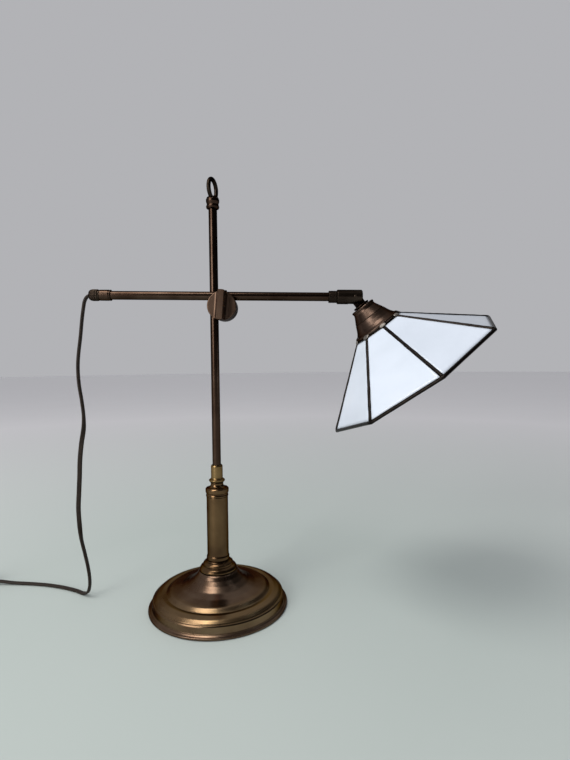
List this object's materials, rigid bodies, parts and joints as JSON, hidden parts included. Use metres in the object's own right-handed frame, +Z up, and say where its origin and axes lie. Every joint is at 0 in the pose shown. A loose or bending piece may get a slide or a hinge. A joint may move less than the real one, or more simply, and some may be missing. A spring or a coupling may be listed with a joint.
{
  "type": "banker desk lamp",
  "caption": "Brass desk lamp with a turned round base, a cross arm in a sliding clamp and a tilting octagonal leaded opal glass shade",
  "frame": {"origin": "centre of the underside of the felt pad, on the surface the lamp stands on, under the mast's axis", "axes": "+Z up along the mast, +X along the arm towards the shade, +Y away from the side that the clamp knob is on"},
  "size_m": [0.7709, 0.2248, 0.5075],
  "materials": {
    "aged_brass": "aged, lacquered, satin",
    "dark_brass": "dark bronze patina, satin",
    "bright_brass": "rubbed, semi-gloss",
    "iron": "raw casting",
    "steel": "zinc plated",
    "felt": "napped",
    "opal_glass": "opaque white opal, glossy",
    "lead": "black patina over solder",
    "cord": "matt flat twin flex",
    "black_plastic": "moulded, semi-gloss",
    "lamp_glass": "opal coated bulb"
  },
  "bodies": {
    "stand": {"felt_pad": "felt", "base_shell": "aged_brass", "base_weight": "iron", "base_washer": "steel", "base_nut": "steel", "tie_rod": "steel", "column_foot": "aged_brass", "column_tube": "aged_brass", "column_cap": "aged_brass", "mast_socket": "bright_brass", "cord_hang": "cord", "cord_run": "cord", "cord_coil": "cord", "cord_tail": "cord", "cord_tie": "black_plastic", "switch_body": "black_plastic", "plug_body": "black_plastic", "plug_pin_1": "steel", "plug_pin_2": "steel"},
    "mast": {"mast_tube": "dark_brass", "finial": "dark_brass", "finial_ring": "dark_brass"},
    "rear_clamp": {"clamp_rear": "dark_brass", "clamp_nut": "dark_brass"},
    "front_clamp": {"clamp_front": "dark_brass", "clamp_washer": "black_plastic"},
    "knob": {"clamp_knob": "aged_brass", "clamp_screw": "steel"},
    "arm": {"arm_tube": "dark_brass", "inner_lead": "cord", "gland_sleeve": "dark_brass", "cord_gland": "dark_brass", "arm_collar": "dark_brass"},
    "knuckle": {"knuckle_sleeve": "dark_brass", "knuckle_pin": "dark_brass"},
    "shade": {"knuckle_tongue": "dark_brass", "shade_cap": "aged_brass", "lampholder": "black_plastic", "lampholder_ring": "black_plastic", "bulb_cap": "steel", "bulb_glass": "lamp_glass", "glass_pane_1": "opal_glass", "glass_pane_2": "opal_glass", "glass_pane_3": "opal_glass", "glass_pane_4": "opal_glass", "glass_pane_5": "opal_glass", "glass_pane_6": "opal_glass", "glass_pane_7": "opal_glass", "glass_pane_8": "opal_glass", "seam_lead_1": "lead", "seam_lead_2": "lead", "seam_lead_3": "lead", "seam_lead_4": "lead", "seam_lead_5": "lead", "seam_lead_6": "lead", "seam_lead_7": "lead", "seam_lead_8": "lead", "rim_lead": "lead", "top_lead": "lead"},
    "rocker": {"switch_rocker": "black_plastic"}
  },
  "joints": [
    {"name": "mast_swivel", "type": "hinge", "parent": "stand", "child": "mast", "pos_m": [0, 0, 0.16], "axis": [0, 0, 1], "range_deg": [-90, 90]},
    {"name": "clamp_height", "type": "slide", "parent": "mast", "child": "rear_clamp", "axis": [0, 0, 1], "range_m": [-0.12, 0.095], "deforming": ["cord_hang"]},
    {"name": "arm_tilt", "type": "hinge", "parent": "rear_clamp", "child": "front_clamp", "pos_m": [0.012, -0.016, 0.355], "axis": [0, 1, 0], "range_deg": [-25, 25]},
    {"name": "arm_slide", "type": "slide", "parent": "front_clamp", "child": "arm", "axis": [0.9998, 0, -0.0175], "range_m": [-0.08, 0.08]},
    {"name": "knuckle_swivel", "type": "hinge", "parent": "arm", "child": "knuckle", "pos_m": [0.16419, -0.016, 0.36434], "axis": [0.9998, 0, -0.0175], "range_deg": [-90, 90]},
    {"name": "shade_tilt", "type": "hinge", "parent": "knuckle", "child": "shade", "pos_m": [0.16419, -0.016, 0.36434], "axis": [0, 1, 0], "range_deg": [-50, 45]},
    {"name": "knob_turn", "type": "hinge", "parent": "front_clamp", "child": "knob", "pos_m": [0.012, -0.03, 0.355], "axis": [0, -1, 0], "range_deg": [0, 180]},
    {"name": "switch_rock", "type": "hinge", "parent": "stand", "child": "rocker", "pos_m": [-0.335, 0.054, 0.0114], "axis": [0, 1, 0], "range_deg": [-16, 0]}
  ]
}
